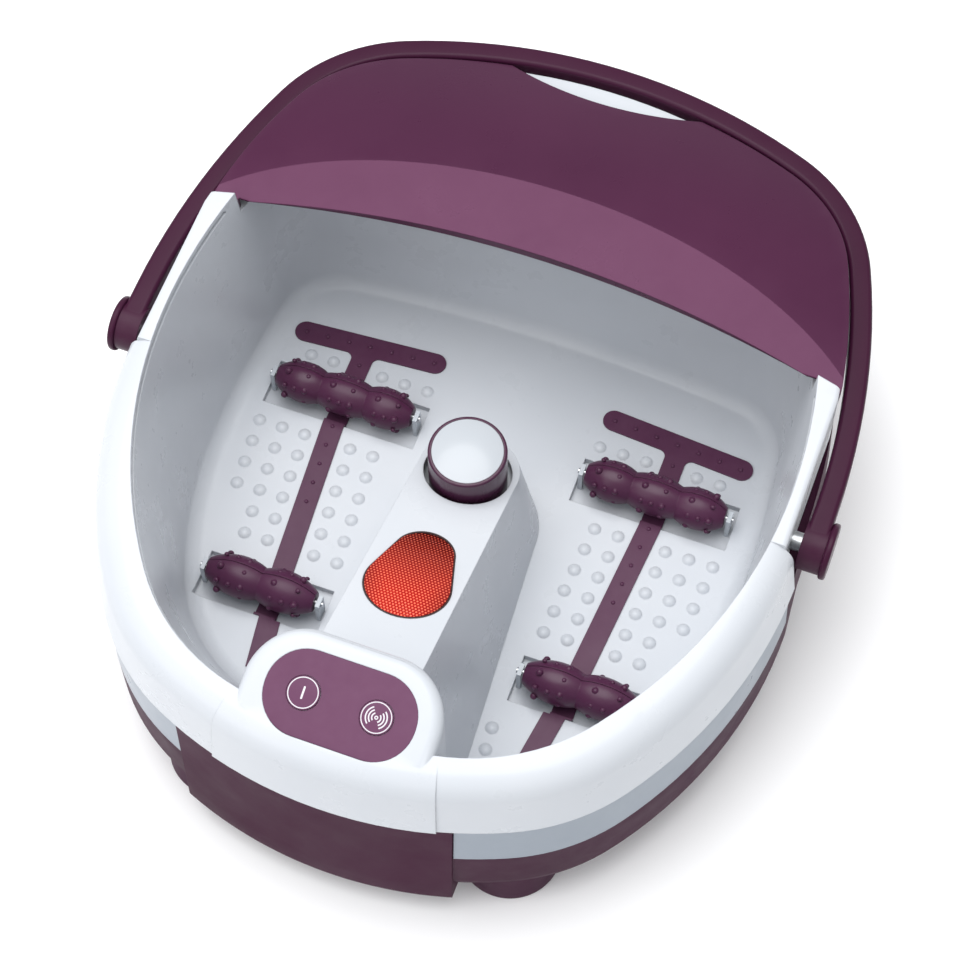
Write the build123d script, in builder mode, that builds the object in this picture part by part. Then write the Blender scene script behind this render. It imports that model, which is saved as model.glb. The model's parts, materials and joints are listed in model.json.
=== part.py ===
from build123d import *
import os
from math import atan, cos, radians, sin, tan

# Foot spa basin, millimetres. X runs across the basin, +Y to the splash guard, +Z up.
# The origin is on the ground, under the middle of the overall box.

# Driving heights above the ground
base_bottom_z = 10.0
base_edge_z = 26.0
floor_z = 22.0
band_bottom_z = 72.0
rim_lip_z = 109.0
rear_deck_z = 134.0
rim_top_z = 151.0

# Walls and clearances
wall = 2.6
rim_wall = 3.0
band_wall = 2.5
band_flare = 1.8
seat_gap = 0.1
running_gap = 0.08
loose_gap = 0.5
touch_gap = 0.02
moulding_gap = 0.05

# Outline of the body: each end is a side arc, a corner arc and an end arc that meet smoothly.
# Order: half width, y of the widest point, side radius, side angle, corner radius, corner angle
body_front = (178.5, -22.5, 239.0, 35.0, 110.0, 31.0)
body_rear = (176.0, 6.0, 394.0, 20.0, 78.0, 48.0)
mouth_front = (166.0, 1.5, 249.0, 37.0, 109.0, 39.0)
mouth_rear = (166.0, 1.5, 300.0, 15.0, 75.0, 60.0)
floor_front = (150.0, 1.5, 260.0, 20.0, 90.0, 60.0)
floor_rear = (150.0, 1.5, 600.0, 7.5, 35.0, 76.5)

# Rim
lip_overhang = 2.0
rim_lean = 5.0
rim_round = 15.0
floor_round = 10.0
notch_y = -29.0
band_split_y = -31.0
band_split_gap = 0.3
rim_half_rear = 172.0
rear_rim_round = 2.5

# Carry handle
pivot_y = -12.0
pivot_z = 126.0
pin_radius = 5.0
boss_radius = 13.0
boss_thickness = 12.1
boss_gap = 5.4
strap_width = 11.5
strap_bottom_z = 125.0
strap_height = 14.0
strap_gap = 2.0
cap_thickness = 3.6
cap_overhang = 1.6
cap_round = 1.4

# Splash guard
guard_front_y = 88.4
guard_front_radius = 640.0
guard_front_z = 148.0
guard_half_width = 171.4
guard_strip_slope = 0.27
guard_top_z = 158.6
guard_top_y = 96.0
guard_long_radius = 300.0
guard_cross_radius = 1070.0
guard_wall = 2.5
guard_gap = 0.5
guard_lip = 5.0
guard_strap_gap = 0.8
guard_lip_half = 158.0
recess_rear_y = 208.0
recess_half_width = 64.0
recess_depth = 16.0

# Console along the middle of the floor
console_slope = 0.371
console_mid_y = -91.0
console_mid_z = 115.2
console_rear_half = 38.0
console_front_half = 50.0
console_rear_y = -11.5
console_front_y = -190.0
console_draft = 10.0
console_round = 8.0

# Control tongue and pad
tongue_half = 50.0
tongue_rear_y = -152.0
tongue_front_y = -204.0
tongue_corner = 30.0
tongue_setback = 8.0
saddle_rise = 1.0
saddle_half = 66.0
tongue_mid_y = -183.0
tongue_mid_z = 156.5
tongue_tilt = 20.0
tongue_bottom_z = 60.0
tongue_round = 6.0
pad_length = 76.0
pad_width = 42.4
pad_thickness = 1.6
pad_corner = 20.5
button_spacing = 37.0
button_radius = 8.2
button_stem_radius = 3.0
button_height = 0.8
button_crown = 0.5
button_travel = 1.5
button_gap = 0.25

# Front panel
panel_left = 82.0
panel_right = 65.0
panel_bottom_z = 20.0
panel_lean = 3.77
panel_wall = 2.5
panel_gap = 0.4
panel_fit = 0.1

# Feet
foot_radius = 27.0
foot_x = 81.0
foot_front_y = -170.0
foot_rear_y = 120.0

# Massage rollers: x of the inner end, barrel length, y of the axis, number of lobes
roller_rear = (50.5, 79.0, 35.0, 3)
roller_front = (59.0, 61.0, -87.0, 2)
roller_axis_z = 32.5
lobe_radius = 11.3
neck_radius = 9.0
nub_radius = 1.9
nub_sink = 0.9
axle_radius = 1.6
axle_stub = 4.5
seam_tilt = 15.0
seam_gap = 0.22
pocket_depth = 4.0
pocket_margin = 5.0
pocket_half_y = 13.5
clip_thickness = 2.4
clip_width = 7.0

# Bubble strips
strip_height = 1.0
strip_width = 12.5
stem_width = 12.0
stem_corner = 4.0
bar_x = 90.5
bar_y = 73.3
bar_length = 88.0
bar_tilt = 4.0
stem_rear_x = 92.0
stem_front_x = 84.7
stem_bend_y = -70.5
stem_tip_x = 76.0
stem_tip_y = -130.0

# Massage bumps on the floor
bump_radius = 3.6
bump_height = 1.9
bump_pitch = 13.4
bump_rows_y = 9.5

# Pedicure attachment
knob_y = -12.0
knob_seat_z = 72.0
knob_radius = 20.6
knob_top_z = 108.5
knob_disc_radius = 18.6
knob_groove = 2.6
knob_seat_wall = 5.0
knob_stem_radius = 8.0
knob_stem_depth = 14.0
knob_dome = 3.0

# Infrared lens
lens_front_radius = 21.5
lens_front_y = -7.0
lens_rear_radius = 15.0
lens_rear_y = 17.5
lens_thickness = 3.0
lens_crown = 3.0
lens_seal = 1.0
lens_step = 1.0
lens_crown_radius = 150.0

# Cord gland
gland_x = 60.0
gland_y = 190.0
gland_z = 50.0
gland_radius = 6.0
gland_bore_radius = 3.5
gland_length = 25.0

bowl_under_z = floor_z - wall

os.makedirs("parts", exist_ok=True)


def keep(builder, name):
    """Label a finished piece and write it to its own file."""
    builder.part.label = name
    export_step(builder.part, f"parts/{name}.step")


def end_arcs(end, grow, toward):
    """Start, middle and end points of the three arcs of one end, on the +X side."""
    half, widest_y, side_radius, side_angle, corner_radius, corner_angle = end
    side_stop = radians(90 - side_angle)
    corner_stop = radians(90 - side_angle - corner_angle)
    side_x = half - side_radius
    corner_x = side_x + (side_radius - corner_radius) * sin(side_stop)
    corner_y = (side_radius - corner_radius) * cos(side_stop)
    end_radius = corner_radius + corner_x / sin(corner_stop)
    end_y = corner_y - (end_radius - corner_radius) * cos(corner_stop)
    arcs = (
        (side_x, 0.0, side_radius, radians(90), side_stop),
        (corner_x, corner_y, corner_radius, side_stop, corner_stop),
        (0.0, end_y, end_radius, corner_stop, 0.0),
    )
    points = []
    for centre_x, centre_y, radius, start, stop in arcs:
        row = []
        for angle in (start, (start + stop) / 2, stop):
            x = centre_x + (radius + grow) * sin(angle)
            y = centre_y + (radius + grow) * cos(angle)
            row.append((x, widest_y + toward * y))
        points.append(row)
    return points


def outline(front, rear, grow, z):
    """Closed egg-shaped outline on the plane at height z, grown outwards by grow."""
    with BuildSketch(Plane.XY.offset(z)) as sketch:
        with BuildLine():
            for end, toward in ((front, -1), (rear, 1)):
                for side in (1, -1):
                    for arc in end_arcs(end, grow, toward):
                        ThreePointArc(*[(side * x, y) for x, y in arc])
            if rear[1] - front[1] > 0.01:
                for side in (1, -1):
                    Line((side * (front[0] + grow), front[1]), (side * (rear[0] + grow), rear[1]))
        make_face()
    return sketch.sketch


def body_outline(grow, z):
    return outline(body_front, body_rear, grow, z)


def mouth_outline(grow, z):
    return outline(mouth_front, mouth_rear, grow, z)


def floor_outline(grow, z):
    return outline(floor_front, floor_rear, grow, z)


def base_sections(inset, lift):
    """Outer sections of the base tray, moved inwards and upwards by its wall."""
    return [
        body_outline(-27 - inset, base_bottom_z + lift),
        body_outline(-14 - inset, base_bottom_z + 3.5 + lift),
        body_outline(-2.0 - inset, base_edge_z + lift),
        body_outline(band_flare - inset, base_edge_z + 14 + lift),
        body_outline(band_flare - inset, band_bottom_z),
    ]


def guard_plan(inset, z):
    """Plan of the splash guard: body outline at the rear, a shallow arc in front."""
    half = guard_half_width - inset
    grow = strap_gap - guard_gap - guard_strap_gap - inset
    with BuildSketch(Plane.XY.offset(z)) as sketch:
        with BuildLine():
            for side in (1, -1):
                for arc in end_arcs(body_rear, grow, 1):
                    ThreePointArc(*[(side * x, y) for x, y in arc])
                x = side * (body_rear[0] + grow)
                Line((x, body_rear[1]), (x, -60))
            x = body_rear[0] + grow
            Line((x, -60), (-x, -60))
        make_face()
        with Locations((0, 100)):
            Rectangle(2 * half, 400, mode=Mode.INTERSECT)
        with Locations((0, guard_front_y + inset - guard_front_radius)):
            Circle(guard_front_radius, mode=Mode.SUBTRACT)
    return sketch.sketch


def guard_solid(inset, drop, bottom_z):
    """Everything under the guard's two-part roof, inside its plan."""
    top = guard_top_z - drop
    with BuildPart() as solid:
        extrude(guard_plan(inset, bottom_z), amount=60)
        with BuildSketch(Plane.YZ):
            with Locations((guard_top_y, top - guard_long_radius)):
                Circle(guard_long_radius)
            with Locations((guard_top_y, top - guard_long_radius - 60)):
                Rectangle(700, 2 * guard_long_radius, mode=Mode.SUBTRACT)
        revolve(axis=Axis((0, 0, top - guard_cross_radius), (0, 1, 0)), mode=Mode.INTERSECT)
        front = guard_front_z - drop
        with BuildSketch(Plane.YZ):
            with BuildLine():
                Polyline(
                    (guard_front_y - 100, front - 100 * guard_strip_slope),
                    (guard_front_y + 200, front + 200 * guard_strip_slope),
                    (guard_front_y + 200, bottom_z - 20),
                    (guard_front_y - 100, bottom_z - 20),
                    close=True,
                )
            make_face()
        extrude(amount=250, both=True, mode=Mode.INTERSECT)
    return solid.part


def console_plane(drop):
    """The sloping top face of the console, lowered by drop."""
    tilt = atan(console_slope)
    return Plane(
        origin=(0, console_mid_y - drop * sin(tilt), console_mid_z - drop * cos(tilt)),
        x_dir=(1, 0, 0),
        z_dir=(0, sin(tilt), cos(tilt)),
    )


def tongue_plane(drop):
    """The face of the control tongue, which slopes down to the front."""
    tilt = radians(tongue_tilt)
    return Plane(
        origin=(0, tongue_mid_y + drop * sin(tilt), tongue_mid_z - drop * cos(tilt)),
        x_dir=(1, 0, 0),
        z_dir=(0, -sin(tilt), cos(tilt)),
    )


def console_solid(inset, bottom_z):
    """Console body: a tapered tongue-shaped footprint cut by the sloping top plane."""
    with BuildPart() as solid:
        with BuildSketch(Plane.XY.offset(bottom_z)) as foot:
            with Locations((0, console_rear_y)):
                Circle(console_rear_half - inset)
            with BuildLine():
                Polyline(
                    (console_rear_half - inset, console_rear_y),
                    (console_front_half - inset, console_front_y + inset),
                    (-console_front_half + inset, console_front_y + inset),
                    (-console_rear_half + inset, console_rear_y),
                    close=True,
                )
            make_face()
        extrude(amount=140 - bottom_z, taper=console_draft)
        split(bisect_by=console_plane(inset), keep=Keep.BOTTOM)
        if inset == 0:
            top = solid.faces().sort_by(Axis.Z)[-1]
            behind_front = top.edges().filter_by(lambda edge: edge.center().Y > console_front_y + 8)
            fillet(behind_front, console_round)
    return solid.part


def tongue_solid(inset, bottom_z):
    """Control tongue: rounded plan standing up to its sloping face."""
    with BuildPart() as solid:
        with BuildSketch(Plane.XY.offset(bottom_z)) as plan:
            length = tongue_rear_y - tongue_front_y
            with Locations((0, tongue_front_y + length / 2)):
                Rectangle(2 * (tongue_half - inset), length - 2 * inset)
            fillet(plan.vertices().group_by(Axis.Y)[-1], tongue_corner - inset)
            add(body_outline(lip_overhang - rim_lean - tongue_setback - inset, 0), mode=Mode.INTERSECT)
        extrude(amount=175 - bottom_z)
        split(bisect_by=tongue_plane(inset), keep=Keep.BOTTOM)
        if inset == 0:
            top = solid.faces().sort_by(Axis.Z)[-1]
            fillet(top.edges(), tongue_round)
    return solid.part


def lens_outline(plane, grow):
    """Egg-shaped outline with its narrow end to the rear."""
    with BuildSketch(plane) as sketch:
        with Locations((0, lens_front_y)):
            Circle(lens_front_radius + grow)
        with Locations((0, lens_rear_y)):
            Circle(lens_rear_radius + grow)
        make_hull()
    return sketch.sketch


def strip_sections(side):
    """Stem centre points of one bubble strip, rear to front."""
    return [
        (side * stem_rear_x, bar_y),
        (side * stem_rear_x, 20.0),
        (side * stem_front_x, stem_bend_y),
        (side * stem_tip_x, stem_tip_y),
    ]


def roller_places():
    """Name, side and size of each of the four rollers."""
    return [
        ("roller_rear_left", -1, roller_rear),
        ("roller_rear_right", 1, roller_rear),
        ("roller_front_left", -1, roller_front),
        ("roller_front_right", 1, roller_front),
    ]


def bump_places():
    """Grid of massage bumps that keeps clear of the stems, pockets and console."""
    places = []
    for side in (-1, 1):
        for row in range(6):
            y = bump_rows_y - row * bump_pitch
            stem_x = stem_rear_x + (stem_front_x - stem_rear_x) * (20.0 - y) / (20.0 - stem_bend_y)
            for column in (-2, -1, 1, 2, 3):
                offset = (abs(column) - 1) * bump_pitch + 13.4
                x = stem_x + offset * (1 if column > 0 else -1)
                if x < 142 - 0.3 * abs(y - 10):
                    places.append((side * x, y))
        for column in (-3, -2, -1, 1, 2):
            offset = (abs(column) - 1) * bump_pitch + 14.5
            x = stem_rear_x + offset * (1 if column > 0 else -1)
            places.append((side * x, bar_y - 15.5))
        for x, y in ((52.0, -118.0), (53.0, -130.5)):
            places.append((side * x, y))
    return places


def pocket_box(side, roller, margin):
    """Centre x, length and centre y of one roller's pocket."""
    inner_x, length, axis_y, _ = roller
    return side * (inner_x + length / 2), length + 2 * (pocket_margin + margin), axis_y


screw_places = [(100, 84), (-100, 84), (60, -122), (-60, -122), (40, 96), (-40, 96)]
screw_radius = 1.5
screw_boss_radius = 4.5

# Basin moulding: bowl, rolled rim, console, control tongue and roller pockets
bump_sphere = (bump_radius**2 + bump_height**2) / (2 * bump_height)
with BuildPart() as bump:
    with BuildSketch(Plane.XZ) as bump_profile:
        with Locations((0, bump_height - bump_sphere)):
            Circle(bump_sphere)
        with Locations((0, -bump_sphere - 0.8)):
            Rectangle(4 * bump_sphere, 2 * bump_sphere, mode=Mode.SUBTRACT)
        with Locations((-2 * bump_sphere, 0)):
            Rectangle(4 * bump_sphere, 4 * bump_sphere, mode=Mode.SUBTRACT)
    revolve(axis=Axis.Z)

with BuildPart() as tub:
    loft(
        [body_outline(lip_overhang, rim_lip_z), body_outline(lip_overhang - rim_lean, rim_top_z)],
        ruled=True,
    )
    fillet(tub.faces().sort_by(Axis.Z)[-1].edges(), rim_round)
    # Saddle under the control tongue, a little proud of the rim's front
    with BuildPart(mode=Mode.PRIVATE) as saddle:
        loft(
            [
                body_outline(lip_overhang + saddle_rise, rim_lip_z),
                body_outline(lip_overhang - rim_lean + saddle_rise / 2, rim_top_z),
            ],
            ruled=True,
        )
        fillet(saddle.faces().sort_by(Axis.Z)[-1].edges(), rim_round)
        with BuildSketch(Plane.XY.offset(rim_lip_z)):
            with BuildLine():
                Polyline(
                    (tongue_half, tongue_mid_y),
                    (saddle_half, -240),
                    (-saddle_half, -240),
                    (-tongue_half, tongue_mid_y),
                    close=True,
                )
            make_face()
        extrude(amount=rim_top_z - rim_lip_z, mode=Mode.INTERSECT)
    add(saddle.part)
    # Room for the carry handle behind the notch, leaving a narrow flat-topped rim
    with BuildSketch(Plane.XY.offset(rim_lip_z - 1)) as recess:
        with Locations((0, notch_y + 150)):
            Rectangle(500, 300)
    extrude(amount=100, mode=Mode.SUBTRACT)
    with BuildPart(mode=Mode.PRIVATE) as rear_rim:
        with BuildSketch(Plane.XY.offset(rim_lip_z)) as rear_plan:
            add(body_outline(-0.5, 0))
            with Locations((0, notch_y + 150)):
                Rectangle(2 * rim_half_rear, 300, mode=Mode.INTERSECT)
        extrude(amount=rim_top_z - rim_lip_z)
        top_edges = rear_rim.faces().sort_by(Axis.Z)[-1].edges()
        fillet(top_edges.filter_by(lambda edge: edge.center().Y > notch_y + 1), rear_rim_round)
    add(rear_rim.part)
    # Hollow under the rim, one level in front of the guard and one below the deck
    hollow = rim_half_rear - rim_wall
    with BuildPart(mode=Mode.PRIVATE) as rim_hollow:
        loft(
            [
                body_outline(lip_overhang - rim_wall, rim_lip_z - 1),
                body_outline(lip_overhang - rim_lean - rim_wall - 3, rim_top_z - rim_wall),
            ],
            ruled=True,
        )
        with Locations((0, 250, rear_deck_z - rim_wall + 50)):
            Box(500, 2 * (250 - guard_front_y + 30), 100, mode=Mode.SUBTRACT)
        beside_y = notch_y - rim_wall + 200
        with Locations((hollow + 50, beside_y, 130), (-hollow - 50, beside_y, 130)):
            Box(100, 400, 100, mode=Mode.SUBTRACT)
        fillet(rim_hollow.edges().group_by(Axis.Z)[-1], 2)
    add(rim_hollow.part, mode=Mode.SUBTRACT)
    # Bowl skin, then the basin itself
    loft([floor_outline(wall, bowl_under_z), mouth_outline(wall, rim_top_z - 6)], ruled=True)
    with BuildPart(mode=Mode.PRIVATE) as basin:
        loft([floor_outline(0, floor_z), mouth_outline(0, rim_top_z + 1)], ruled=True)
        fillet(basin.faces().sort_by(Axis.Z)[0].edges(), floor_round)
    add(basin.part, mode=Mode.SUBTRACT)
    # Lower deck under the splash guard
    with BuildSketch(Plane.XY.offset(rear_deck_z)) as deck_cut:
        with Locations((0, guard_front_y + 100)):
            Rectangle(500, 300)
        with Locations((0, guard_front_y - guard_gap - guard_front_radius)):
            Circle(guard_front_radius, mode=Mode.SUBTRACT)
    extrude(amount=60, mode=Mode.SUBTRACT)
    # Console and tongue, then their hollows
    add(console_solid(0, bowl_under_z))
    add(tongue_solid(0, tongue_bottom_z))
    add(console_solid(wall, bowl_under_z - 1), mode=Mode.SUBTRACT)
    add(tongue_solid(wall, tongue_bottom_z - 1), mode=Mode.SUBTRACT)
    # Bosses under the roller pockets, then the pockets
    for _, side, roller in roller_places():
        x, length, y = pocket_box(side, roller, wall)
        with Locations((x, y, floor_z - pocket_depth / 2 - wall / 2)):
            Box(length, 2 * (pocket_half_y + wall), pocket_depth + wall)
    for _, side, roller in roller_places():
        x, length, y = pocket_box(side, roller, 0)
        with Locations((x, y, floor_z - pocket_depth)):
            Box(
                length,
                2 * pocket_half_y,
                pocket_depth + 12,
                align=(Align.CENTER, Align.CENTER, Align.MIN),
                mode=Mode.SUBTRACT,
            )
    # Knob seat with its socket, at least wide enough to join the console's wall all round
    console_inner = console_rear_half - wall - (knob_seat_z - bowl_under_z + 1) * tan(radians(console_draft))
    with Locations((0, knob_y, knob_seat_z - knob_stem_depth - wall)):
        Cylinder(
            max(knob_radius + knob_groove + knob_seat_wall, console_inner + wall / 2),
            knob_stem_depth + wall,
            align=(Align.CENTER, Align.CENTER, Align.MIN),
        )
    with Locations((0, knob_y, knob_seat_z)):
        Cylinder(
            knob_radius + knob_groove,
            60,
            align=(Align.CENTER, Align.CENTER, Align.MIN),
            mode=Mode.SUBTRACT,
        )
    with Locations((0, knob_y, knob_seat_z - knob_stem_depth)):
        Cylinder(
            knob_stem_radius + running_gap,
            60,
            align=(Align.CENTER, Align.CENTER, Align.MIN),
            mode=Mode.SUBTRACT,
        )
    # Lens opening with a step for its seal
    lens_seat = lens_outline(console_plane(lens_thickness - lens_step), lens_seal)
    extrude(lens_seat, amount=12, mode=Mode.SUBTRACT)
    extrude(lens_outline(console_plane(8), -2), amount=20, mode=Mode.SUBTRACT)
    # Pad recess and button holes in the tongue
    with BuildSketch(tongue_plane(pad_thickness)) as pad_seat:
        RectangleRounded(pad_length, pad_width, pad_corner)
    extrude(amount=12, mode=Mode.SUBTRACT)
    with BuildSketch(tongue_plane(12)) as stem_holes:
        with Locations((-button_spacing / 2, 0), (button_spacing / 2, 0)):
            Circle(button_stem_radius + loose_gap)
    extrude(amount=20, mode=Mode.SUBTRACT)
    # Pivot pin bores
    for side in (-1, 1):
        with BuildSketch(Plane.YZ.offset(side * (rim_half_rear - rim_wall - 0.5))):
            with Locations((pivot_y, pivot_z)):
                Circle(pin_radius)
        extrude(amount=side * 20, mode=Mode.SUBTRACT)
    # Massage bumps
    with Locations(*[(x, y, floor_z) for x, y in bump_places()]):
        add(bump.part)
    # Screw bosses
    with Locations(*[(x, y, base_bottom_z + band_wall + seat_gap) for x, y in screw_places]):
        Cylinder(
            screw_boss_radius,
            bowl_under_z - base_bottom_z - band_wall - seat_gap + 1,
            align=(Align.CENTER, Align.CENTER, Align.MIN),
        )
        Cylinder(
            screw_radius,
            bowl_under_z - base_bottom_z - band_wall - seat_gap,
            align=(Align.CENTER, Align.CENTER, Align.MIN),
            mode=Mode.SUBTRACT,
        )
keep(tub, "tub")

# Side band: the plain ring between the rim's lip and the base
with BuildPart() as side_band:
    loft([body_outline(band_flare, band_bottom_z), body_outline(0, rim_lip_z)], ruled=True)
    loft(
        [body_outline(band_flare - band_wall, band_bottom_z), body_outline(-band_wall, rim_lip_z)],
        ruled=True,
        mode=Mode.SUBTRACT,
    )
    with Locations(((panel_right - panel_left) / 2, -200, 90)):
        Box(panel_left + panel_right, 120, 60, mode=Mode.SUBTRACT)
    with Locations((0, band_split_y + 200, 90)):
        Box(500, 400, 60, mode=Mode.SUBTRACT)
keep(side_band, "side_band")

# Rear band: the same ring behind the handle, with a ledge that closes the handle's slot
with BuildPart() as rear_band:
    loft([body_outline(band_flare, band_bottom_z), body_outline(0, rim_lip_z)], ruled=True)
    loft(
        [body_outline(band_flare - band_wall, band_bottom_z), body_outline(-band_wall, rim_lip_z)],
        ruled=True,
        mode=Mode.SUBTRACT,
    )
    with BuildSketch(Plane.XY.offset(rim_lip_z - band_wall)) as ledge:
        add(body_outline(-0.3, 0))
        Rectangle(2 * (rim_half_rear + seat_gap), 700, mode=Mode.SUBTRACT)
    extrude(amount=band_wall)
    with Locations((0, band_split_y + band_split_gap - 200, 90)):
        Box(500, 400, 60, mode=Mode.SUBTRACT)
keep(rear_band, "rear_band")

# Base tray
with BuildPart() as base_shell:
    loft(base_sections(0, 0), ruled=True)
    loft(base_sections(band_wall, band_wall), ruled=True, mode=Mode.SUBTRACT)
    with Locations(*[(x, y, base_bottom_z - 1) for x, y in screw_places]):
        Cylinder(screw_radius + 0.2, 20, mode=Mode.SUBTRACT)
    with BuildSketch(Plane.XZ.offset(-gland_y)) as gland_hole:
        with Locations((gland_x, gland_z)):
            Circle(gland_radius)
    extrude(amount=-60, mode=Mode.SUBTRACT)
    with Locations(*[(x, y, base_bottom_z - 1) for x in (-20, -10, 0, 10, 20) for y in (-60, 60)]):
        Box(3, 30, 20, mode=Mode.SUBTRACT)
keep(base_shell, "base_shell")

# Front panel, proud of the base and leaning out towards its foot
panel_sections = (
    (panel_bottom_z, panel_lean + 0.5),
    (panel_bottom_z + 3, panel_lean + 1.0),
    (rim_lip_z - 0.3, 1.2),
)
with BuildPart() as front_panel:
    loft([body_outline(grow, z) for z, grow in panel_sections], ruled=True)
    loft(base_sections(-panel_fit, 0), ruled=True, mode=Mode.SUBTRACT)
    loft(
        [
            body_outline(band_flare + panel_fit, band_bottom_z),
            body_outline(band_flare - panel_wall, band_bottom_z + 1),
            body_outline(-panel_wall, rim_lip_z),
        ],
        ruled=True,
        mode=Mode.SUBTRACT,
    )
    with Locations(((panel_right - panel_left) / 2, -200, 70)):
        Box(panel_left + panel_right - 2 * panel_gap, 120, 120, mode=Mode.INTERSECT)
keep(front_panel, "front_panel")

# Rubber feet shaped to the underside of the base
foot_places = (
    ("foot_front_left", -foot_x, foot_front_y),
    ("foot_front_right", foot_x, foot_front_y),
    ("foot_rear_left", -foot_x, foot_rear_y),
    ("foot_rear_right", foot_x, foot_rear_y),
)
for name, x, y in foot_places:
    with BuildPart() as foot:
        with Locations((x, y, 0)):
            Cylinder(foot_radius, 2.5, align=(Align.CENTER, Align.CENTER, Align.MIN))
        with Locations((x, y, 2.5)):
            Cone(foot_radius, foot_radius - 3, 25, align=(Align.CENTER, Align.CENTER, Align.MIN))
        loft(base_sections(0, 0), ruled=True, mode=Mode.SUBTRACT)
        fillet(foot.edges().group_by(Axis.Z)[0], 1.5)
        with Locations(((panel_right - panel_left) / 2, -200, panel_bottom_z - panel_gap + 50)):
            Box(panel_left + panel_right, 120, 100, mode=Mode.SUBTRACT)
    keep(foot, name)

# Bubble strips: a cross bar and a bent stem that dips through the roller pockets
for side, name in ((-1, "bubble_strip_left"), (1, "bubble_strip_right")):
    with BuildPart() as strip:
        with BuildSketch(Plane.XY.offset(floor_z + touch_gap)) as flat:
            with Locations(Location((side * bar_x, bar_y, 0), (0, 0, -side * bar_tilt))):
                SlotOverall(bar_length, strip_width)
            with BuildLine():
                points = strip_sections(side)
                Polyline(
                    *[(x - stem_width / 2, y) for x, y in points],
                    *[(x + stem_width / 2, y) for x, y in reversed(points)],
                    close=True,
                )
            make_face()
            corners = flat.vertices().filter_by(lambda corner: bar_y - 14 < corner.Y < bar_y - 3)
            fillet(corners, stem_corner)
        extrude(amount=strip_height - touch_gap)
        for roller in (roller_rear, roller_front):
            x, length, y = pocket_box(side, roller, 0)
            with Locations((x, y, floor_z)):
                Box(length, 2 * pocket_half_y, 10, mode=Mode.SUBTRACT)
            x = side * (stem_rear_x if roller is roller_rear else stem_front_x - 1)
            low_z = floor_z - pocket_depth + touch_gap
            with Locations((x, y, low_z)):
                Box(stem_width, 2 * pocket_half_y - 0.1, 1.4, align=(Align.CENTER, Align.CENTER, Align.MIN))
            for end_y in (y - pocket_half_y + 0.6, y + pocket_half_y - 0.6):
                with Locations((x, end_y, low_z)):
                    Box(
                        stem_width,
                        1.2,
                        pocket_depth + strip_height,
                        align=(Align.CENTER, Align.CENTER, Align.MIN),
                    )
    keep(strip, name)

# Massage rollers: two lobed halves round an axle, in clips at each end
clip_places = []
for name, side, roller in roller_places():
    inner_x, length, axis_y, lobes = roller
    start = min(side * inner_x, side * (inner_x + length))
    lobe = length / lobes
    with BuildPart(mode=Mode.PRIVATE) as barrel:
        with BuildSketch(Plane.XY) as profile:
            with BuildLine():
                edge_points = [(0, neck_radius - 3.5)]
                for index in range(lobes):
                    middle = (lobe * (index + 0.5), lobe_radius)
                    last = index == lobes - 1
                    right = (lobe * (index + 1), neck_radius - 3.5 if last else neck_radius)
                    ThreePointArc(edge_points[-1], middle, right)
                    edge_points.append(right)
                Line(edge_points[-1], (length, 0))
                Line((length, 0), (0, 0))
                Line((0, 0), edge_points[0])
            make_face()
        revolve(axis=Axis.X)
        nubs = []
        for index in range(lobes):
            for angle in range(0, 360, 45):
                shift = 0.22 if (angle // 45) % 2 else -0.22
                turn = radians(angle + 90 - seam_tilt + 22.5)
                radius = lobe_radius - nub_sink
                nubs.append((lobe * (index + 0.5 + shift), radius * cos(turn), radius * sin(turn)))
        with Locations(*nubs):
            Sphere(nub_radius)
        with Locations((length / 2, 0, 0)):
            Cylinder(axle_radius + touch_gap, 2 * length, rotation=(0, 90, 0), mode=Mode.SUBTRACT)
    seat = Plane(
        origin=(start, axis_y, roller_axis_z),
        x_dir=(1, 0, 0),
        z_dir=(0, -cos(radians(seam_tilt)), sin(radians(seam_tilt))),
    )
    placed = barrel.part.moved(Location((start, axis_y, roller_axis_z)))
    for half, side_kept in (("front_half", Keep.TOP), ("rear_half", Keep.BOTTOM)):
        with BuildPart() as half_shell:
            add(placed)
            split(bisect_by=seat.offset(seam_gap if side_kept == Keep.TOP else -seam_gap), keep=side_kept)
        keep(half_shell, f"{name}_{half}")
    with BuildPart() as axle:
        with Locations((start + length / 2, axis_y, roller_axis_z)):
            Cylinder(axle_radius, length + 2 * axle_stub, rotation=(0, 90, 0))
    keep(axle, f"{name}_axle")
    for x in (start - 1.2 - clip_thickness / 2, start + length + 1.2 + clip_thickness / 2):
        clip_places.append((x, axis_y))

with BuildPart() as roller_clips:
    with Locations(*[(x, y, floor_z - pocket_depth + touch_gap) for x, y in clip_places]):
        Box(
            clip_thickness,
            clip_width,
            roller_axis_z - floor_z + pocket_depth + 2.6,
            align=(Align.CENTER, Align.CENTER, Align.MIN),
        )
    with Locations(*[(x, y, roller_axis_z) for x, y in clip_places]):
        Cylinder(axle_radius + running_gap, 2 * clip_thickness, rotation=(0, 90, 0), mode=Mode.SUBTRACT)
keep(roller_clips, "roller_clips")

# Splash guard
with BuildPart() as splash_guard:
    add(guard_solid(0, 0, rear_deck_z + 0.3))
    add(guard_solid(guard_wall, guard_wall, rear_deck_z - 5), mode=Mode.SUBTRACT)
    with Locations((0, guard_front_y - 30, guard_front_z - guard_lip - 20)):
        Box(2 * guard_lip_half, 70, 40, mode=Mode.SUBTRACT)
    with BuildSketch(Plane.XY.offset(rear_deck_z - 5)) as finger_recess:
        recess_radius = (recess_half_width**2 + recess_depth**2) / (2 * recess_depth)
        with Locations((0, recess_rear_y - recess_depth + recess_radius)):
            Circle(recess_radius)
    extrude(amount=60, mode=Mode.SUBTRACT)
keep(splash_guard, "splash_guard")

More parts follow.
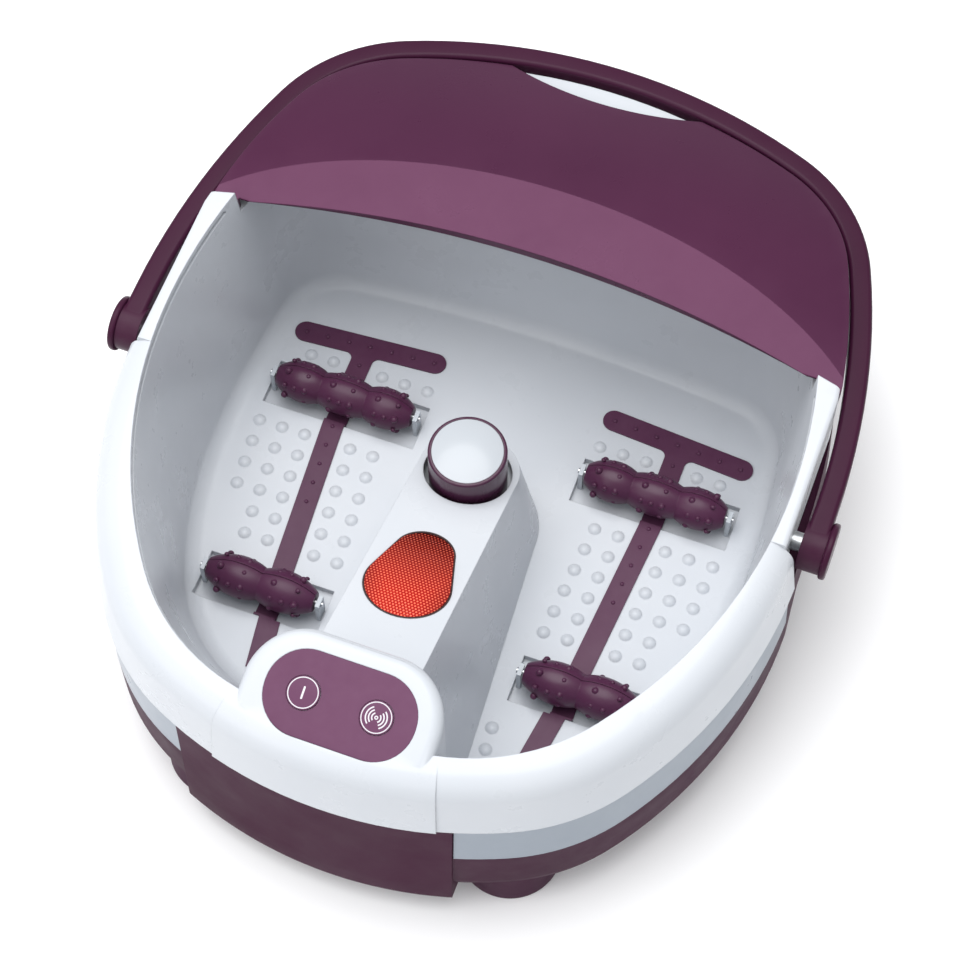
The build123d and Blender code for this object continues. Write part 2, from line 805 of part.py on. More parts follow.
# Carry handle: flat bail with a boss at each end
with BuildPart() as handle:
    with BuildSketch(Plane.XY.offset(strap_bottom_z)) as bail:
        with BuildLine():
            for grow in (strap_gap, strap_gap + strap_width):
                for side in (1, -1):
                    for arc in end_arcs(body_rear, grow, 1):
                        ThreePointArc(*[(side * x, y) for x, y in arc])
                    x = side * (body_rear[0] + grow)
                    Line((x, body_rear[1]), (x, pivot_y))
            for side in (1, -1):
                inner_x = side * (body_rear[0] + strap_gap)
                outer_x = side * (body_rear[0] + strap_gap + strap_width)
                Line((inner_x, pivot_y), (outer_x, pivot_y))
        make_face()
    extrude(amount=strap_height)
    fillet(handle.edges().group_by(Axis.Z)[-1] + handle.edges().group_by(Axis.Z)[0], 2.5)
    for side in (1, -1):
        with BuildSketch(Plane.YZ.offset(side * (rim_half_rear + boss_gap))):
            with Locations((pivot_y, pivot_z)):
                Circle(boss_radius)
        extrude(amount=side * boss_thickness)
    for side in (1, -1):
        with BuildSketch(Plane.YZ.offset(side * rim_half_rear)):
            with Locations((pivot_y, pivot_z)):
                Circle(pin_radius + running_gap)
        extrude(amount=side * (boss_thickness + boss_gap - 2), mode=Mode.SUBTRACT)
keep(handle, "handle")

for side, name in ((-1, "left"), (1, "right")):
    with BuildPart() as cap:
        with BuildSketch(Plane.YZ.offset(side * (rim_half_rear + boss_gap + boss_thickness + touch_gap))):
            with Locations((pivot_y, pivot_z)):
                Circle(boss_radius + cap_overhang)
        extrude(amount=side * cap_thickness)
        fillet(cap.faces().filter_by(Axis.X).edges(), cap_round)
    keep(cap, f"handle_cap_{name}")
    with BuildPart() as pin:
        with BuildSketch(Plane.YZ.offset(side * (rim_half_rear - rim_wall - 2.2))):
            with Locations((pivot_y, pivot_z)):
                Circle(pin_radius + 2)
        extrude(amount=side * 2)
        with BuildSketch(Plane.YZ.offset(side * (rim_half_rear - rim_wall - 0.2))):
            with Locations((pivot_y, pivot_z)):
                Circle(pin_radius - 0.01)
        extrude(amount=side * (rim_wall + boss_gap + boss_thickness - 3))
    keep(pin, f"pivot_pin_{name}")

# Pedicure attachment: ring, domed disc and stem
with BuildPart() as pedicure_ring:
    with Locations((0, knob_y, knob_seat_z + 0.3)):
        Cylinder(knob_radius, knob_top_z - knob_seat_z - 0.3, align=(Align.CENTER, Align.CENTER, Align.MIN))
    fillet(pedicure_ring.edges().group_by(Axis.Z)[-1], 1.2)
    with Locations((0, knob_y, knob_top_z - 3)):
        Cylinder(
            knob_disc_radius + 0.1,
            10,
            align=(Align.CENTER, Align.CENTER, Align.MIN),
            mode=Mode.SUBTRACT,
        )
    with Locations((0, knob_y, knob_seat_z - knob_stem_depth + 1)):
        Cylinder(knob_stem_radius, knob_stem_depth, align=(Align.CENTER, Align.CENTER, Align.MIN))
keep(pedicure_ring, "pedicure_ring")

with BuildPart() as pedicure_disc:
    with Locations((0, knob_y, knob_top_z - 2.98)):
        Cylinder(knob_disc_radius, 2.98 + knob_dome, align=(Align.CENTER, Align.CENTER, Align.MIN))
    dome_radius = (knob_disc_radius**2 + knob_dome**2) / (2 * knob_dome)
    with Locations((0, knob_y, knob_top_z + knob_dome - dome_radius)):
        Sphere(dome_radius, mode=Mode.INTERSECT)
keep(pedicure_disc, "pedicure_disc")

# Infrared lens, its seal and the lamp board under it
lens_plane = console_plane(lens_thickness - lens_step - touch_gap)
with BuildPart() as infrared_lens:
    extrude(lens_outline(lens_plane, 0), amount=lens_thickness + lens_crown)
    with Locations(console_plane(lens_crown_radius - lens_crown).origin):
        Sphere(lens_crown_radius, mode=Mode.INTERSECT)
keep(infrared_lens, "infrared_lens")

with BuildPart() as lens_gasket:
    extrude(lens_outline(lens_plane, lens_seal - moulding_gap), amount=2.2)
    extrude(lens_outline(console_plane(10), moulding_gap), amount=30, mode=Mode.SUBTRACT)
keep(lens_gasket, "lens_gasket")

with BuildPart() as infrared_board:
    with BuildSketch(console_plane(12)):
        Rectangle(30, 46)
    extrude(amount=1.6)
keep(infrared_board, "infrared_board")

with BuildPart() as infrared_leds:
    with BuildSketch(console_plane(12 - 1.62)):
        with GridLocations(9, 10, 3, 4):
            Circle(2.5)
    extrude(amount=4.5)
keep(infrared_leds, "infrared_leds")

# Control pad, buttons, board and switches
with BuildPart() as control_pad:
    with BuildSketch(tongue_plane(pad_thickness - touch_gap)):
        RectangleRounded(pad_length - 0.2, pad_width - 0.2, pad_corner - 0.1)
    extrude(amount=pad_thickness)
    with BuildSketch(tongue_plane(pad_thickness + 1)):
        with Locations((-button_spacing / 2, 0), (button_spacing / 2, 0)):
            Circle(button_radius + button_gap)
    extrude(amount=6, mode=Mode.SUBTRACT)
keep(control_pad, "control_pad")

for name, x in (("button_power", -button_spacing / 2), ("button_massage", button_spacing / 2)):
    with BuildPart() as button:
        with BuildSketch(tongue_plane(pad_thickness - button_travel - 0.1)):
            with Locations((x, 0)):
                Circle(button_radius)
        extrude(amount=pad_thickness - button_travel - 0.1 + button_height)
        top = button.faces().sort_by(Axis.Z)[-1]
        fillet(top.edges(), button_crown)
        with BuildSketch(tongue_plane(wall + 3.0)):
            with Locations((x, 0)):
                Circle(button_stem_radius)
        extrude(amount=wall + 3.0)
    keep(button, name)

board_drop = 10.0
with BuildPart() as control_board:
    with BuildSketch(tongue_plane(board_drop)):
        RectangleRounded(66, 34, 2)
    extrude(amount=1.6)
keep(control_board, "control_board")

for name, x in (("switch_power", -button_spacing / 2), ("switch_massage", button_spacing / 2)):
    with BuildPart() as switch:
        with BuildSketch(tongue_plane(board_drop - 1.62)):
            with Locations((x, 0)):
                Rectangle(6, 6)
        extrude(amount=1.0)
        with BuildSketch(tongue_plane(board_drop - 2.6)):
            with Locations((x, 0)):
                Circle(1.6)
        extrude(amount=board_drop - 2.6 - wall - 3.0 - button_travel - 0.2)
    keep(switch, name)

# Heating plate under the rear of the floor
heater_y = 55.0
with BuildPart() as heater_plate:
    with Locations((0, heater_y, floor_z - wall - 0.05)):
        Box(60, 50, 3, align=(Align.CENTER, Align.CENTER, Align.MAX))
keep(heater_plate, "heater_plate")

# Vibration motor lying under the console, its eccentric weight and its clamp
motor_y = -70.0
motor_z = 44.0
motor_radius = 13.0
motor_length = 38.0
shaft_radius = 1.5
with BuildPart() as vibration_motor:
    with BuildSketch(Plane.XZ.offset(-motor_y)):
        with Locations((0, motor_z)):
            Circle(motor_radius)
    extrude(amount=motor_length)
    with BuildSketch(Plane.XZ.offset(-motor_y - 18)):
        with Locations((0, motor_z)):
            Circle(shaft_radius)
    extrude(amount=20)
keep(vibration_motor, "vibration_motor")

with BuildPart() as eccentric_weight:
    with BuildSketch(Plane.XZ.offset(-motor_y - 14)):
        with Locations((0, motor_z)):
            Circle(11)
            with Locations((0, 14)):
                Rectangle(30, 28, mode=Mode.SUBTRACT)
        with Locations((0, motor_z)):
            Circle(4)
            Circle(shaft_radius + 0.05, mode=Mode.SUBTRACT)
    extrude(amount=8)
keep(eccentric_weight, "eccentric_weight")

with BuildPart() as motor_clamp:
    with BuildSketch(Plane.XZ.offset(-motor_y + 14)):
        with Locations((0, motor_z)):
            Circle(motor_radius + 2.5)
        with Locations((0, (motor_z + base_bottom_z + band_wall) / 2)):
            Rectangle(36, motor_z - base_bottom_z - band_wall - 0.1)
        with Locations((0, motor_z)):
            Circle(motor_radius + 0.05, mode=Mode.SUBTRACT)
    extrude(amount=10)
keep(motor_clamp, "motor_clamp")

# Air pump behind the bowl, on a flat mounting plate
pump_x = -50.0
pump_y = 168.0
pump_z = 50.0
pump_height = 46.0
with BuildPart() as air_pump:
    with Locations((pump_x, pump_y, pump_z)):
        Box(64, 28, pump_height)
    fillet(air_pump.edges().filter_by(Axis.Y), 6)
    with Locations((pump_x, pump_y, pump_z - pump_height / 2)):
        Box(80, 18, 3, align=(Align.CENTER, Align.CENTER, Align.MIN))
keep(air_pump, "air_pump")

# Power board beside the pump
with BuildPart() as power_board:
    with Locations((50, pump_y, 40)):
        Box(70, 30, 1.6)
    with Locations((36, pump_y, 48), (62, pump_y, 46)):
        Box(18, 20, 14.4)
keep(power_board, "power_board")

# Cord gland through the rear wall of the base
with BuildPart() as cord_gland:
    with BuildSketch(Plane.XZ.offset(-gland_y)) as gland:
        with Locations((gland_x, gland_z)):
            Circle(gland_radius - seat_gap)
            Circle(gland_bore_radius, mode=Mode.SUBTRACT)
    extrude(amount=-gland_length)
keep(cord_gland, "cord_gland")

# Screws that hold the base to the basin
with BuildPart() as base_screws:
    with Locations(*[(x, y, base_bottom_z) for x, y in screw_places]):
        Cylinder(3.2, 1.8, align=(Align.CENTER, Align.CENTER, Align.MAX))
        Cylinder(screw_radius - touch_gap, 8.5, align=(Align.CENTER, Align.CENTER, Align.MIN))
keep(base_screws, "base_screws")
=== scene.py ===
import json
from math import cos, pi, radians, sin, sqrt

import bmesh
import bpy
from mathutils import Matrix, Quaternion, Vector


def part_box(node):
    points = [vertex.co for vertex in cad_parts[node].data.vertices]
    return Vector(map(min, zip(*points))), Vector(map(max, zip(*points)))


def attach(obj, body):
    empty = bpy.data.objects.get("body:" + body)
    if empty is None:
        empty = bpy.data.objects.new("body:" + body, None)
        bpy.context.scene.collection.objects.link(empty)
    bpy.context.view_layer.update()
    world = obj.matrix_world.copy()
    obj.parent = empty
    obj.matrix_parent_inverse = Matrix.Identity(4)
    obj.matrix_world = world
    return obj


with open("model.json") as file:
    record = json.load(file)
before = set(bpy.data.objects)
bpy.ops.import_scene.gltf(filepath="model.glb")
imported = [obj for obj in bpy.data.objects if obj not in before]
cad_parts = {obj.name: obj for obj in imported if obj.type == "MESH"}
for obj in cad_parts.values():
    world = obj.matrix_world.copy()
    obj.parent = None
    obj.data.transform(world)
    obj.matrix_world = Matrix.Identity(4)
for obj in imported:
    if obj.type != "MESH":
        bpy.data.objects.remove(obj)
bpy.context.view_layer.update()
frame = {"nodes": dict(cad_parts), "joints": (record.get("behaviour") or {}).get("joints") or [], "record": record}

MM = 0.001
nodes = frame["nodes"]
bpy.context.scene.view_settings.view_transform = "Standard"


# ---------------------------------------------------------------- materials


def colour(code):
    """Linear colour of a six-digit sRGB code."""
    parts = [int(code[i:i + 2], 16) / 255 for i in (0, 2, 4)]
    return tuple(c / 12.92 if c < 0.04045 else ((c + 0.055) / 1.055) ** 2.4 for c in parts) + (1.0,)


class Graph:
    """A material's node tree with short ways to add nodes."""

    def __init__(self, name):
        self.material = bpy.data.materials.new(name)
        self.material.use_nodes = True
        self.tree = self.material.node_tree
        self.shader = self.tree.nodes["Principled BSDF"]
        self.place = self.add("ShaderNodeTexCoord").outputs["Object"]

    def add(self, kind, **values):
        node = self.tree.nodes.new(kind)
        for key, value in values.items():
            setattr(node, key, value)
        return node

    def link(self, a, b):
        self.tree.links.new(a, b)

    def noise(self, scale, detail=3.0, rough=0.5, coords=None):
        node = self.add("ShaderNodeTexNoise")
        node.inputs["Scale"].default_value = scale
        node.inputs["Detail"].default_value = detail
        node.inputs["Roughness"].default_value = rough
        self.link(coords or self.place, node.inputs["Vector"])
        return node.outputs["Fac"]

    def remap(self, source, low, high, to_low, to_high):
        node = self.add("ShaderNodeMapRange")
        for key, value in (("From Min", low), ("From Max", high), ("To Min", to_low), ("To Max", to_high)):
            node.inputs[key].default_value = value
        self.link(source, node.inputs["Value"])
        return node.outputs["Result"]

    def mix(self, factor, a, b):
        node = self.add("ShaderNodeMix", data_type="RGBA")
        for socket, value in ((node.inputs[0], factor), (node.inputs[6], a), (node.inputs[7], b)):
            if hasattr(value, "links"):
                self.link(value, socket)
            else:
                socket.default_value = value
        return node.outputs[2]

    def math(self, operation, a, b=None):
        node = self.add("ShaderNodeMath", operation=operation)
        for socket, value in zip(node.inputs, (a, b)):
            if value is None:
                continue
            if hasattr(value, "links"):
                self.link(value, socket)
            else:
                socket.default_value = value
        return node.outputs[0]

    def bump(self, height, strength, distance, normal=None):
        node = self.add("ShaderNodeBump")
        node.inputs["Strength"].default_value = strength
        node.inputs["Distance"].default_value = distance
        self.link(height, node.inputs["Height"])
        if normal:
            self.link(normal, node.inputs["Normal"])
        return node.outputs["Normal"]


def moulded(name, main, light, rough=0.3, spread=0.06, grain=900, grain_depth=0.03, coat=0.0, bevel=0.6,
            edge_highlight_amount=0.25, specular=0.5, ior=1.45):
    """Moulded plastic: cloudy colour, uneven gloss, fine grain, softened edges that are painted paler in patches
    as a highlight.
    """
    g = Graph(name)
    cloud = g.noise(9.0, 4.0, 0.55)
    base = g.mix(g.remap(cloud, 0.3, 0.7, 0.0, 1.0), main, light)
    edge = g.add("ShaderNodeNewGeometry").outputs["Pointiness"]
    # Painted highlight: convex edges (found by pointiness) turn paler, broken up by noise.
    painted_edge_highlight = g.math("MULTIPLY", g.remap(edge, 0.52, 0.62, 0.0, edge_highlight_amount), g.noise(160.0, 3.0))
    pale = tuple(min(1.0, c * 1.25 + 0.04) for c in light[:3]) + (1.0,)
    g.link(g.mix(painted_edge_highlight, base, pale), g.shader.inputs["Base Color"])
    smear = g.noise(38.0, 5.0, 0.6)
    g.link(g.remap(smear, 0.3, 0.7, rough - spread, rough + spread), g.shader.inputs["Roughness"])
    round_edge = g.add("ShaderNodeBevel", samples=4)
    round_edge.inputs["Radius"].default_value = bevel * MM
    surface = g.bump(g.noise(grain, 2.0), grain_depth, 0.3 * MM, round_edge.outputs["Normal"])
    g.link(surface, g.shader.inputs["Normal"])
    g.shader.inputs["Specular IOR Level"].default_value = specular
    g.shader.inputs["IOR"].default_value = ior
    g.shader.inputs["Coat Weight"].default_value = coat
    g.shader.inputs["Coat Roughness"].default_value = 0.12
    return g


def turned_metal(name, main, light, rough=0.32):
    """Drawn or turned metal with fine lines."""
    g = Graph(name)
    stretch = g.add("ShaderNodeMapping")
    stretch.inputs["Scale"].default_value = (40.0, 1400.0, 1400.0)
    g.link(g.place, stretch.inputs["Vector"])
    lines = g.noise(1.0, 3.0, 0.6, stretch.outputs["Vector"])
    g.link(g.mix(lines, main, light), g.shader.inputs["Base Color"])
    g.link(g.remap(lines, 0.3, 0.7, rough - 0.08, rough + 0.1), g.shader.inputs["Roughness"])
    g.link(g.bump(lines, 0.15, 0.05 * MM), g.shader.inputs["Normal"])
    g.shader.inputs["Metallic"].default_value = 1.0
    return g


def honeycomb(g, size):
    """Distance from the nearest hexagon centre, 0 in the middle of a cell and about 0.5 at its wall."""
    split = g.add("ShaderNodeSeparateXYZ")
    g.link(g.place, split.inputs[0])
    step_y = sqrt(3.0)
    x = g.math("DIVIDE", split.outputs[0], size)
    y = g.math("DIVIDE", split.outputs[1], size)
    found = []
    for shift in (0.0, 0.5):
        px = g.math("SUBTRACT", g.math("FLOORED_MODULO", g.math("ADD", x, shift), 1.0), 0.5)
        row = g.math("FLOORED_MODULO", g.math("ADD", y, shift * step_y), step_y)
        py = g.math("SUBTRACT", row, step_y / 2)
        ax = g.math("ABSOLUTE", px)
        ay = g.math("ABSOLUTE", py)
        slanted = g.math("ADD", g.math("MULTIPLY", ax, 0.5), g.math("MULTIPLY", ay, step_y / 2))
        found.append(g.math("MAXIMUM", ax, slanted))
    return g.math("MINIMUM", *found)


finish = {}
# Slot, main colour, light colour, roughness, its spread, grain scale, grain depth, other values
plastics = (
    ("tub_white", "c3c6cb", "bec2c8", 0.3, 0.05, 420, 0.004,
     {"coat": 0.08, "bevel": 0.9, "edge_highlight_amount": 0.1, "specular": 0.25}),
    # band_grey: the band under the rim is white plastic like the tub; its grey-blue colour is painted shade for
    # that recessed vertical face.
    ("band_grey", "7a8490", "808a96", 0.32, 0.05, 420, 0.004, {"coat": 0.1}),
    ("base_plum", "361329", "3b162e", 0.5, 0.07, 1000, 0.05, {"specular": 0.3, "ior": 1.18}),
    ("panel_plum", "39152b", "3e1830", 0.5, 0.06, 1000, 0.05, {"specular": 0.3, "ior": 1.18}),
    ("handle_plum", "351229", "3a152d", 0.36, 0.06, 1000, 0.05, {"specular": 0.4, "ior": 1.25}),
    ("guard_plum", "3b1830", "401b34", 0.3, 0.04, 900, 0.03, {"specular": 0.42}),
    ("roller_plum", "441e38", "4a223e", 0.36, 0.08, 1100, 0.06, {"specular": 0.35}),
    ("strip_plum", "49253e", "502a44", 0.38, 0.08, 1100, 0.06, {"bevel": 0.3, "specular": 0.25}),
    ("knob_plum", "3d1a32", "431e38", 0.25, 0.05, 900, 0.03, {"specular": 0.4}),
    ("knob_white", "b2b6bb", "acb1b7", 0.25, 0.04, 700, 0.015, {"coat": 0.15, "specular": 0.35}),
    ("pad_plum", "58304c", "5d3451", 0.42, 0.05, 1300, 0.05, {"bevel": 0.3, "specular": 0.25}),
    ("button_plum", "5a324e", "603654", 0.4, 0.05, 1300, 0.05, {"bevel": 0.3, "specular": 0.25}),
    ("foot_rubber", "3f1f34", "46243b", 0.5, 0.1, 600, 0.12, {"ior": 1.2}),
    ("gasket_rubber", "2a1718", "371e1f", 0.6, 0.1, 600, 0.1, {"bevel": 0.2}),
    ("clip_white", "b3b8be", "adb3b9", 0.28, 0.06, 900, 0.03, {"bevel": 0.3}),
    ("board_green", "1f5a38", "27693f", 0.35, 0.08, 500, 0.04, {"bevel": 0.1}),
    ("part_black", "1c1c1e", "26262a", 0.45, 0.08, 900, 0.06, {"bevel": 0.2}),
    ("part_grey", "6b6d70", "77797c", 0.45, 0.08, 900, 0.06, {"bevel": 0.3}),
    ("led_clear", "e2a09a", "edb0aa", 0.15, 0.05, 700, 0.02, {"coat": 0.4, "bevel": 0.2}),
    ("icon_white", "d3d0d4", "ccc8cd", 0.4, 0.06, 1200, 0.04, {"bevel": 0.05}),
)
for slot, main, light, rough, spread, grain, grain_depth, more in plastics:
    finish[slot] = moulded(slot, colour(main), colour(light), rough, spread, grain, grain_depth, **more)
finish["guard_plum"].shader.inputs["Specular Tint"].default_value = (1.0, 0.5, 0.8, 1.0)
finish["steel"] = turned_metal("steel", colour("a9abae"), colour("c6c8ca"))
finish["heater_metal"] = turned_metal("heater_metal", colour("b9bbbd"), colour("d2d3d5"), 0.4)

lens = Graph("lens_red")
lens_low, lens_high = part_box("infrared_lens")
lens_place = lens.add("ShaderNodeSeparateXYZ")
lens.link(lens.place, lens_place.inputs[0])
cell = honeycomb(lens, 1.75 * MM)
# Painted highlight: the middle of each honeycomb cell is given a lighter orange-red.
painted_cell_highlight = lens.remap(cell, 0.12, 0.3, 1.0, 0.0)
wall_mask = lens.remap(cell, 0.36, 0.46, 0.0, 1.0)
# Painted shade: the lens colour darkens toward its rear and toward its sides.
toward_rear = lens.remap(lens_place.outputs[1], lens_low.y + 14 * MM, lens_high.y, 0.0, 1.0)
from_centre = lens.math("ABSOLUTE", lens_place.outputs[0])
toward_edge = lens.remap(from_centre, 9 * MM, 22 * MM, 0.0, 0.55)
painted_lens_shade = lens.math("MAXIMUM", toward_rear, toward_edge)
cell_colour = lens.mix(painted_lens_shade, colour("b81a0c"), colour("4c0604"))
wall_colour = lens.mix(painted_lens_shade, colour("8a0e07"), colour("330403"))
painted_highlight_colour = lens.mix(painted_lens_shade, colour("ee7a5c"), colour("b04a38"))
lens_colour = lens.mix(painted_cell_highlight, lens.mix(wall_mask, cell_colour, wall_colour), painted_highlight_colour)
lens.link(lens_colour, lens.shader.inputs["Base Color"])
# Painted glow: the lens emits its own colour, painted highlight and shade included, though no lamp behind it is
# modelled.
lens.link(lens_colour, lens.shader.inputs["Emission Color"])
lens.shader.inputs["Emission Strength"].default_value = 0.08
lens.link(lens.remap(lens.noise(60.0, 3.0), 0.3, 0.7, 0.16, 0.24), lens.shader.inputs["Roughness"])
lens.link(lens.bump(lens.math("SUBTRACT", 0.5, cell), 0.5, 0.5 * MM), lens.shader.inputs["Normal"])
lens.shader.inputs["Specular IOR Level"].default_value = 0.2
lens.shader.inputs["Coat Weight"].default_value = 0.12
lens.shader.inputs["Coat Roughness"].default_value = 0.08
finish["lens_red"] = lens

slot_of = {part["node"]: part["material_slot"] for part in frame["record"]["subparts"]}
for name, node in nodes.items():
    node.data.materials.clear()
    node.data.materials.append(finish[slot_of[name]].material)
    node.data.polygons.foreach_set("use_smooth", [True] * len(node.data.polygons))
    weld = node.modifiers.new("join_faces", "WELD")
    weld.merge_threshold = 0.002 * MM
    crease = node.modifiers.new("keep_creases", "EDGE_SPLIT")
    crease.split_angle = radians(9 if name == "splash_guard" else 28)


# ---------------------------------------------------------------- added pieces


def piece(name, bm, body):
    """Turns a bmesh into a smooth-shaded object that rides on a body."""
    mesh = bpy.data.meshes.new(name)
    bmesh.ops.recalc_face_normals(bm, faces=bm.faces)
    bm.to_mesh(mesh)
    bm.free()
    obj = bpy.data.objects.new(name, mesh)
    bpy.context.scene.collection.objects.link(obj)
    mesh.polygons.foreach_set("use_smooth", [True] * len(mesh.polygons))
    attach(obj, body)
    return obj


def top_frame(node, outward):
    """Centre of the flat top of a node that faces outward, with its two in-plane directions."""
    points = [v.co for v in nodes[node].data.vertices]
    top = max(p.dot(outward) for p in points)
    flat = [p for p in points if top - p.dot(outward) < 0.05 * MM]
    across = Vector((1.0, 0.0, 0.0))
    up = outward.cross(across)
    u = [p.dot(across) for p in flat]
    v = [p.dot(up) for p in flat]
    centre = across * (min(u) + max(u)) / 2 + up * (min(v) + max(v)) / 2 + outward * top
    return centre, across, up


def band_strip(bm, frame_, inner, outer, start, stop, height, sink=0.05 * MM, steps=48):
    """A flat ring or arc, rounded across its width, standing on a plane."""
    centre, across, up = frame_
    outward = across.cross(up)
    full = abs(stop - start) > 2 * pi - 0.01
    count = steps if full else steps + 1
    rows = []
    for i in range(count):
        angle = start + (stop - start) * i / steps
        ray = across * cos(angle) + up * sin(angle)
        ring = []
        for radius, level in ((inner, -sink), (inner, height * 0.6), (inner * 0.7 + outer * 0.3, height),
                              (inner * 0.3 + outer * 0.7, height), (outer, height * 0.6), (outer, -sink)):
            ring.append(bm.verts.new(centre + ray * radius + outward * level))
        rows.append(ring)
    pairs = [(i, (i + 1) % count) for i in range(count if full else count - 1)]
    for a, b in pairs:
        for j in range(6):
            k = (j + 1) % 6
            bm.faces.new((rows[a][j], rows[b][j], rows[b][k], rows[a][k]))
    if not full:
        bm.faces.new(rows[0])
        bm.faces.new(rows[-1][::-1])


def rounded_bar(bm, frame_, length, width, height, sink=0.05 * MM, steps=10):
    """A raised bar with round ends, standing on a plane."""
    centre, across, up = frame_
    outward = across.cross(up)
    half = length / 2 - width / 2
    edge = []
    for end, turn in ((1, 0.0), (-1, pi)):
        for i in range(steps + 1):
            angle = turn + pi * i / steps
            edge.append(across * (cos(angle) * width / 2) + up * (sin(angle) * width / 2 + end * half))
    rings = []
    for grow, level in ((1.0, -sink), (1.0, height * 0.6), (0.75, height)):
        ring = []
        for p in edge:
            side = p - up * p.dot(up) + up * (p.dot(up) - max(-half, min(half, p.dot(up))))
            ring.append(bm.verts.new(centre + p + side * (grow - 1.0) + outward * level))
        rings.append(ring)
    total = len(edge)
    for low, high in zip(rings, rings[1:]):
        for i in range(total):
            j = (i + 1) % total
            bm.faces.new((low[i], low[j], high[j], high[i]))
    bm.faces.new(rings[0][::-1])
    bm.faces.new(rings[-1])


def nub(bm, centre, out, radius, height, sink=0.5 * MM, rings=4, steps=14):
    """A low round nub that stands out of a surface."""
    across = out.orthogonal().normalized()
    up = out.cross(across)
    rows = []
    for level in range(-1, rings):
        angle = pi / 2 * max(level, 0) / rings
        rise = -sink if level < 0 else height * sin(angle)
        row = []
        for i in range(steps):
            turn = 2 * pi * i / steps
            side = across * cos(turn) + up * sin(turn)
            row.append(bm.verts.new(centre + side * radius * cos(angle) + out * rise))
        rows.append(row)
    for low, high in zip(rows, rows[1:]):
        for i in range(steps):
            j = (i + 1) % steps
            bm.faces.new((low[i], low[j], high[j], high[i]))
    tip = bm.verts.new(centre + out * height)
    for i in range(steps):
        bm.faces.new((rows[-1][i], rows[-1][(i + 1) % steps], tip))
    bm.faces.new(rows[0][::-1])


def dome(bm, centre, radius, height):
    """A nub that stands straight up."""
    nub(bm, centre, Vector((0.0, 0.0, 1.0)), radius, height)


press = next(j for j in frame["joints"] if j["name"] == "power_button_press")
face_out = -Vector(press["axis"]).normalized()
icon_height = 0.12 * MM
for node, body in (("button_power", "power_button"), ("button_massage", "massage_button")):
    plane = top_frame(node, face_out)
    bm = bmesh.new()
    band_strip(bm, plane, 7.05 * MM, 7.6 * MM, 0.0, 2 * pi, icon_height)
    if node == "button_power":
        rounded_bar(bm, plane, 6.4 * MM, 1.0 * MM, icon_height)
    else:
        band_strip(bm, plane, 0.4 * MM, 1.0 * MM, 0.0, 2 * pi, icon_height, steps=24)
        for radius in (2.2, 3.7, 5.2):
            for middle in (0.0, pi):
                band_strip(bm, plane, (radius - 0.36) * MM, (radius + 0.36) * MM, middle - radians(60),
                           middle + radians(50), icon_height, steps=24)
    icon = piece(node + "_icon", bm, body)
    icon.data.materials.append(finish["icon_white"].material)

# Small nubs along the bubble strips' cross bars and stems
bar_pitch = 12.4 * MM
bar_slope = 0.0699
bar_drop = 9.0 * MM
bar_centre_x = 90.5 * MM
stem_x = 92.0 * MM
stem_slope = 0.08
stem_bend_drop = 53.0
for side, node in ((-1, "bubble_strip_left"), (1, "bubble_strip_right")):
    _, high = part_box(node)
    bm = bmesh.new()
    mid_x = side * bar_centre_x
    bar_y = high.y - bar_drop
    for i in range(-3, 4):
        along = i * bar_pitch
        dome(bm, Vector((mid_x + along, bar_y - side * along * bar_slope, high.z)), 1.35 * MM, 0.9 * MM)
    for drop in (13.0, 54.0, 66.0, 78.0, 90.0, 102.0):
        lean = side * max(0.0, drop - stem_bend_drop) * stem_slope * MM
        dome(bm, Vector((side * stem_x - lean, bar_y - drop * MM, high.z)), 1.2 * MM, 0.8 * MM)
    nubs = piece(node + "_nubs", bm, "basin")
    nubs.data.materials.append(finish["strip_plum"].material)


# Rows of smaller nubs between the large ones on each massage roller
lobe_radius = 11.3
lobe_fall = 2.3
for end, lobes in (("rear", 3), ("front", 2)):
    for hand in ("left", "right"):
        body = f"roller_{end}_{hand}"
        low_a, high_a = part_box(body + "_front_half")
        axle_low, axle_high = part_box(body + "_axle")
        axis_y = (axle_low.y + axle_high.y) / 2
        axis_z = (axle_low.z + axle_high.z) / 2
        start, length = low_a.x, high_a.x - low_a.x
        lobe = length / lobes
        bm = bmesh.new()
        for index in range(lobes):
            for step in range(8):
                turn = radians(45 * step + 7.5)
                ray = Vector((0.0, cos(turn), sin(turn)))
                shift = -0.22 if step % 2 else 0.22
                for extra in (shift, 0.0) if step % 2 else (shift,):
                    along = lobe * (index + 0.5 + extra)
                    surface = (lobe_radius - lobe_fall * (extra * 2) ** 2) * MM
                    centre = Vector((start + along, axis_y, axis_z)) + ray * surface
                    nub(bm, centre, ray, 1.35 * MM, 1.0 * MM)
        nubs = piece(body + "_nubs", bm, body)
        nubs.data.materials.append(finish["roller_plum"].material)


# ---------------------------------------------------------------- floor, lights, camera


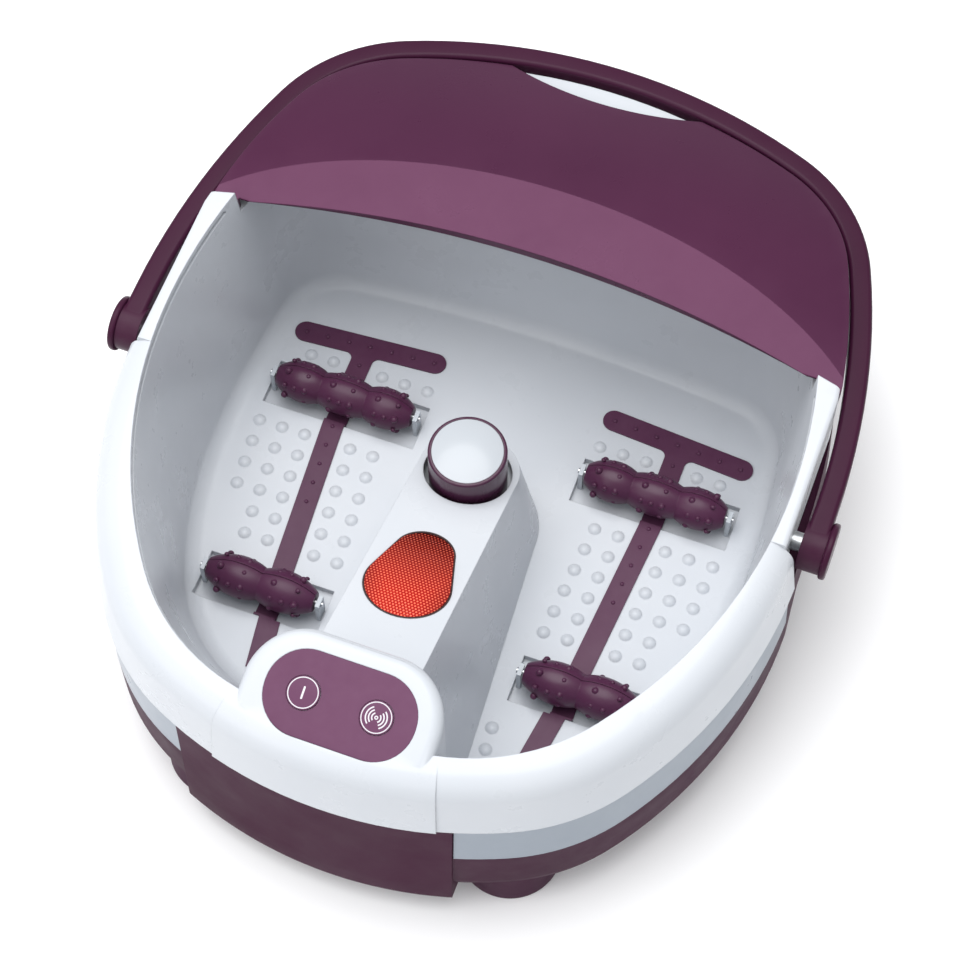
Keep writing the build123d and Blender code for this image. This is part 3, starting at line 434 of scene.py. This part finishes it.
def floor():
    """A wide plain pale floor."""
    bm = bmesh.new()
    steps = 24
    size = 6.0
    grid = []
    for i in range(steps + 1):
        x = size * (i / steps - 0.5)
        grid.append([bm.verts.new((x, size * (j / steps - 0.5), 0.0)) for j in range(steps + 1)])
    for i in range(steps):
        for j in range(steps):
            bm.faces.new((grid[i][j], grid[i + 1][j], grid[i + 1][j + 1], grid[i][j + 1]))
    mesh = bpy.data.meshes.new("floor")
    bm.to_mesh(mesh)
    bm.free()
    obj = bpy.data.objects.new("floor", mesh)
    bpy.context.scene.collection.objects.link(obj)
    g = Graph("floor")
    g.link(g.mix(g.noise(3.0, 3.0), colour("fdfdfd"), colour("fafafb")), g.shader.inputs["Base Color"])
    g.link(g.remap(g.noise(20.0, 3.0), 0.3, 0.7, 0.75, 0.9), g.shader.inputs["Roughness"])
    g.shader.inputs["Specular IOR Level"].default_value = 0.1
    mesh.materials.append(g.material)


floor()

world = bpy.data.worlds.new("studio")
bpy.context.scene.world = world
world.use_nodes = True
world.node_tree.nodes["Background"].inputs["Color"].default_value = (0.97, 0.985, 1.0, 1.0)
world.node_tree.nodes["Background"].inputs["Strength"].default_value = 0.74


def area_light(name, place, size, power):
    """A round soft light aimed at the middle of the object."""
    light = bpy.data.lights.new(name, "AREA")
    light.shape = "DISK"
    light.size = size
    light.energy = power
    obj = bpy.data.objects.new(name, light)
    obj.location = place
    aim = Vector((0.0, 0.0, 0.08)) - Vector(place)
    obj.rotation_mode = "QUATERNION"
    obj.rotation_quaternion = aim.to_track_quat("-Z", "Y")
    bpy.context.scene.collection.objects.link(obj)


area_light("key", (-0.28, 0.16, 2.3), 2.2, 54.0)
area_light("fill", (-1.0, -1.35, 1.45), 1.6, 11.0)

azimuth, elevation, roll = radians(20.44), radians(62.86), radians(-0.31)
back = Vector((sin(azimuth) * cos(elevation), -cos(azimuth) * cos(elevation), sin(elevation)))
camera_data = bpy.data.cameras.new("camera")
camera_data.sensor_width = 36.0
camera_data.lens = 99.39
camera_data.clip_end = 50.0
camera = bpy.data.objects.new("camera", camera_data)
camera.location = (0.2367, -0.6160, 1.3311)
camera.rotation_mode = "QUATERNION"
camera.rotation_quaternion = back.to_track_quat("Z", "Y") @ Quaternion((0.0, 0.0, 1.0), roll)
bpy.context.scene.collection.objects.link(camera)
bpy.context.scene.camera = camera
